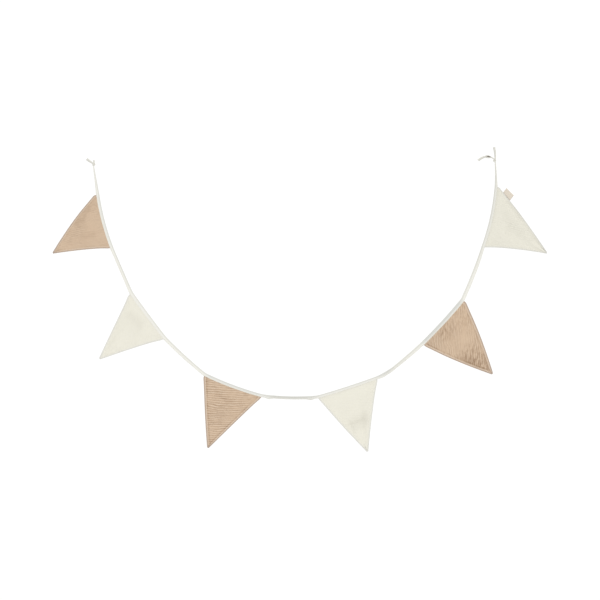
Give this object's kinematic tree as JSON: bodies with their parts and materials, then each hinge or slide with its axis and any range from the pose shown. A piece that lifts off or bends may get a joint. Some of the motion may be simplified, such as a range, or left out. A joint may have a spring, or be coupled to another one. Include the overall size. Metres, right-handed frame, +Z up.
{
  "type": "fabric bunting",
  "caption": "Hanging fabric bunting: triangular cloth flags in alternating tan and cream along one folded tape with a small knot and free tails at each end.",
  "frame": {"origin": "centre of the left end's knot, from which the bunting hangs", "axes": "+X from the left knot towards the right one, +Z up, and the flags' fronts face -Y"},
  "size_m": [1.4808, 0.1303, 0.9143],
  "materials": {
    "tape": "matte cream cotton binding",
    "tan_cloth": "matte crinkled double cotton, tan",
    "cream_cloth": "matte crinkled double cotton, cream",
    "label": "smooth bare woven ribbon, light tan"
  },
  "bodies": {
    "root": {"tape": "tape", "flag_1": "tan_cloth", "flag_2": "cream_cloth", "flag_3": "tan_cloth", "flag_4": "cream_cloth", "flag_5": "tan_cloth", "flag_6": "cream_cloth", "label": "label"}
  },
  "joints": []
}
